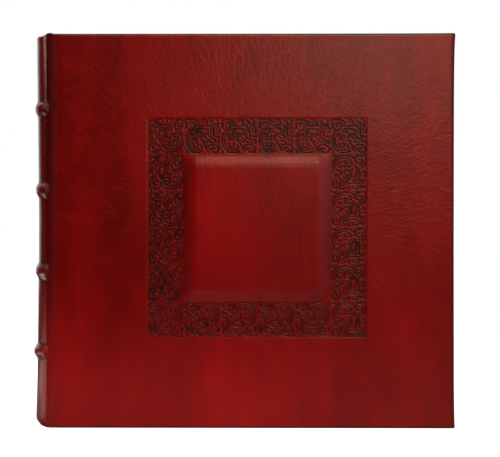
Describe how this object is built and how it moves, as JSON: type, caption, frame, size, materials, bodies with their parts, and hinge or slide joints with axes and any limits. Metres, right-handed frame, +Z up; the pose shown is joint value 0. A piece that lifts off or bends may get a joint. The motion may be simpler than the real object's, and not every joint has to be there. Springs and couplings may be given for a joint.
{
  "type": "photo album",
  "caption": "Large square-format leather photo album with a rounded spine, raised bands, a bevelled front panel in a tooled frame, and card leaves with tissue guards.",
  "frame": {"origin": "under the middle of the album, on the surface that its tail edges stand on", "axes": "+Z up towards the head of the album, +X from the spine to the fore-edge, -Y out of the front cover"},
  "size_m": [0.323, 0.0502, 0.302],
  "materials": {
    "cover_leather": "deep red antiqued leather, mottled, semi-gloss",
    "board": "grey bookbinder's board",
    "liner_card": "grey card",
    "kraft_paper": "brown kraft paper",
    "mull_cloth": "open-weave starched cotton",
    "end_band_silk": "striped silk bead",
    "leaf_card": "ivory card, matt",
    "lining_paper": "cream laid paper",
    "glassine": "translucent glassine tissue",
    "guard_card": "buff card",
    "linen_thread": "waxed linen thread"
  },
  "bodies": {
    "spine": {"spine_leather": "cover_leather", "spine_liner": "liner_card", "raised_band_1": "liner_card", "raised_band_2": "liner_card", "raised_band_3": "liner_card", "raised_band_4": "liner_card", "kraft_lining": "kraft_paper", "mull": "mull_cloth", "head_band": "end_band_silk", "tail_band": "end_band_silk", "leaf_stubs": "leaf_card", "spacer_guards": "guard_card", "sewing_thread": "linen_thread"},
    "front_cover": {"front_board": "board", "front_cover_leather": "cover_leather", "panel_board": "board", "front_pastedown": "lining_paper", "front_joint_leather": "cover_leather"},
    "back_cover": {"back_board": "board", "back_cover_leather": "cover_leather", "back_pastedown": "lining_paper", "back_joint_leather": "cover_leather"},
    "front_flyleaf": {"front_flyleaf": "lining_paper"},
    "back_flyleaf": {"back_flyleaf": "lining_paper"},
    "leaf_01": {"leaf_01": "leaf_card", "tissue_01": "glassine"},
    "leaf_02": {"leaf_02": "leaf_card", "tissue_02": "glassine"},
    "leaf_03": {"leaf_03": "leaf_card", "tissue_03": "glassine"},
    "leaf_04": {"leaf_04": "leaf_card", "tissue_04": "glassine"},
    "leaf_05": {"leaf_05": "leaf_card", "tissue_05": "glassine"},
    "leaf_06": {"leaf_06": "leaf_card", "tissue_06": "glassine"},
    "leaf_07": {"leaf_07": "leaf_card", "tissue_07": "glassine"},
    "leaf_08": {"leaf_08": "leaf_card", "tissue_08": "glassine"},
    "leaf_09": {"leaf_09": "leaf_card", "tissue_09": "glassine"},
    "leaf_10": {"leaf_10": "leaf_card", "tissue_10": "glassine"},
    "leaf_11": {"leaf_11": "leaf_card", "tissue_11": "glassine"},
    "leaf_12": {"leaf_12": "leaf_card", "tissue_12": "glassine"},
    "leaf_13": {"leaf_13": "leaf_card", "tissue_13": "glassine"},
    "leaf_14": {"leaf_14": "leaf_card", "tissue_14": "glassine"},
    "leaf_15": {"leaf_15": "leaf_card", "tissue_15": "glassine"},
    "leaf_16": {"leaf_16": "leaf_card", "tissue_16": "glassine"}
  },
  "joints": [
    {"name": "front_hinge", "type": "hinge", "parent": "spine", "child": "front_cover", "pos_m": [-0.15001, -0.0224, 0.151], "axis": [0, 0, -1], "range_deg": [0, 178], "deforming": ["front_joint_leather"]},
    {"name": "back_hinge", "type": "hinge", "parent": "spine", "child": "back_cover", "pos_m": [-0.15001, 0.0246, 0.151], "axis": [0, 0, 1], "range_deg": [0, 178], "deforming": ["back_joint_leather"]},
    {"name": "front_flyleaf_fold", "type": "hinge", "parent": "spine", "child": "front_flyleaf", "pos_m": [-0.13601, -0.0224, 0.151], "axis": [0, 0, -1], "range_deg": [0, 176]},
    {"name": "back_flyleaf_fold", "type": "hinge", "parent": "spine", "child": "back_flyleaf", "pos_m": [-0.13601, 0.0246, 0.151], "axis": [0, 0, 1], "range_deg": [0, 176]},
    {"name": "leaf_01_fold", "type": "hinge", "parent": "spine", "child": "leaf_01", "pos_m": [-0.13601, -0.0224, 0.151], "axis": [0, 0, -1], "range_deg": [0, 176]},
    {"name": "leaf_02_fold", "type": "hinge", "parent": "spine", "child": "leaf_02", "pos_m": [-0.13601, -0.0224, 0.151], "axis": [0, 0, -1], "range_deg": [0, 176]},
    {"name": "leaf_03_fold", "type": "hinge", "parent": "spine", "child": "leaf_03", "pos_m": [-0.13601, -0.0224, 0.151], "axis": [0, 0, -1], "range_deg": [0, 176]},
    {"name": "leaf_04_fold", "type": "hinge", "parent": "spine", "child": "leaf_04", "pos_m": [-0.13601, -0.0224, 0.151], "axis": [0, 0, -1], "range_deg": [0, 176]},
    {"name": "leaf_05_fold", "type": "hinge", "parent": "spine", "child": "leaf_05", "pos_m": [-0.13601, -0.0224, 0.151], "axis": [0, 0, -1], "range_deg": [0, 176]},
    {"name": "leaf_06_fold", "type": "hinge", "parent": "spine", "child": "leaf_06", "pos_m": [-0.13601, -0.0224, 0.151], "axis": [0, 0, -1], "range_deg": [0, 176]},
    {"name": "leaf_07_fold", "type": "hinge", "parent": "spine", "child": "leaf_07", "pos_m": [-0.13601, -0.0224, 0.151], "axis": [0, 0, -1], "range_deg": [0, 176]},
    {"name": "leaf_08_fold", "type": "hinge", "parent": "spine", "child": "leaf_08", "pos_m": [-0.13601, -0.0224, 0.151], "axis": [0, 0, -1], "range_deg": [0, 176]},
    {"name": "leaf_09_fold", "type": "hinge", "parent": "spine", "child": "leaf_09", "pos_m": [-0.13601, 0.0246, 0.151], "axis": [0, 0, 1], "range_deg": [0, 176]},
    {"name": "leaf_10_fold", "type": "hinge", "parent": "spine", "child": "leaf_10", "pos_m": [-0.13601, 0.0246, 0.151], "axis": [0, 0, 1], "range_deg": [0, 176]},
    {"name": "leaf_11_fold", "type": "hinge", "parent": "spine", "child": "leaf_11", "pos_m": [-0.13601, 0.0246, 0.151], "axis": [0, 0, 1], "range_deg": [0, 176]},
    {"name": "leaf_12_fold", "type": "hinge", "parent": "spine", "child": "leaf_12", "pos_m": [-0.13601, 0.0246, 0.151], "axis": [0, 0, 1], "range_deg": [0, 176]},
    {"name": "leaf_13_fold", "type": "hinge", "parent": "spine", "child": "leaf_13", "pos_m": [-0.13601, 0.0246, 0.151], "axis": [0, 0, 1], "range_deg": [0, 176]},
    {"name": "leaf_14_fold", "type": "hinge", "parent": "spine", "child": "leaf_14", "pos_m": [-0.13601, 0.0246, 0.151], "axis": [0, 0, 1], "range_deg": [0, 176]},
    {"name": "leaf_15_fold", "type": "hinge", "parent": "spine", "child": "leaf_15", "pos_m": [-0.13601, 0.0246, 0.151], "axis": [0, 0, 1], "range_deg": [0, 176]},
    {"name": "leaf_16_fold", "type": "hinge", "parent": "spine", "child": "leaf_16", "pos_m": [-0.13601, 0.0246, 0.151], "axis": [0, 0, 1], "range_deg": [0, 176]}
  ],
  "couplings": [
    {"joint": "front_flyleaf_fold", "follows": "front_hinge", "ratio": 0.975},
    {"joint": "back_flyleaf_fold", "follows": "back_hinge", "ratio": 0.975},
    {"joint": "leaf_01_fold", "follows": "front_hinge", "ratio": 0.866},
    {"joint": "leaf_02_fold", "follows": "front_hinge", "ratio": 0.757},
    {"joint": "leaf_03_fold", "follows": "front_hinge", "ratio": 0.648},
    {"joint": "leaf_04_fold", "follows": "front_hinge", "ratio": 0.539},
    {"joint": "leaf_05_fold", "follows": "front_hinge", "ratio": 0.43},
    {"joint": "leaf_06_fold", "follows": "front_hinge", "ratio": 0.321},
    {"joint": "leaf_07_fold", "follows": "front_hinge", "ratio": 0.212},
    {"joint": "leaf_08_fold", "follows": "front_hinge", "ratio": 0.103},
    {"joint": "leaf_09_fold", "follows": "back_hinge", "ratio": 0.103},
    {"joint": "leaf_10_fold", "follows": "back_hinge", "ratio": 0.212},
    {"joint": "leaf_11_fold", "follows": "back_hinge", "ratio": 0.321},
    {"joint": "leaf_12_fold", "follows": "back_hinge", "ratio": 0.43},
    {"joint": "leaf_13_fold", "follows": "back_hinge", "ratio": 0.539},
    {"joint": "leaf_14_fold", "follows": "back_hinge", "ratio": 0.648},
    {"joint": "leaf_15_fold", "follows": "back_hinge", "ratio": 0.757},
    {"joint": "leaf_16_fold", "follows": "back_hinge", "ratio": 0.866}
  ]
}
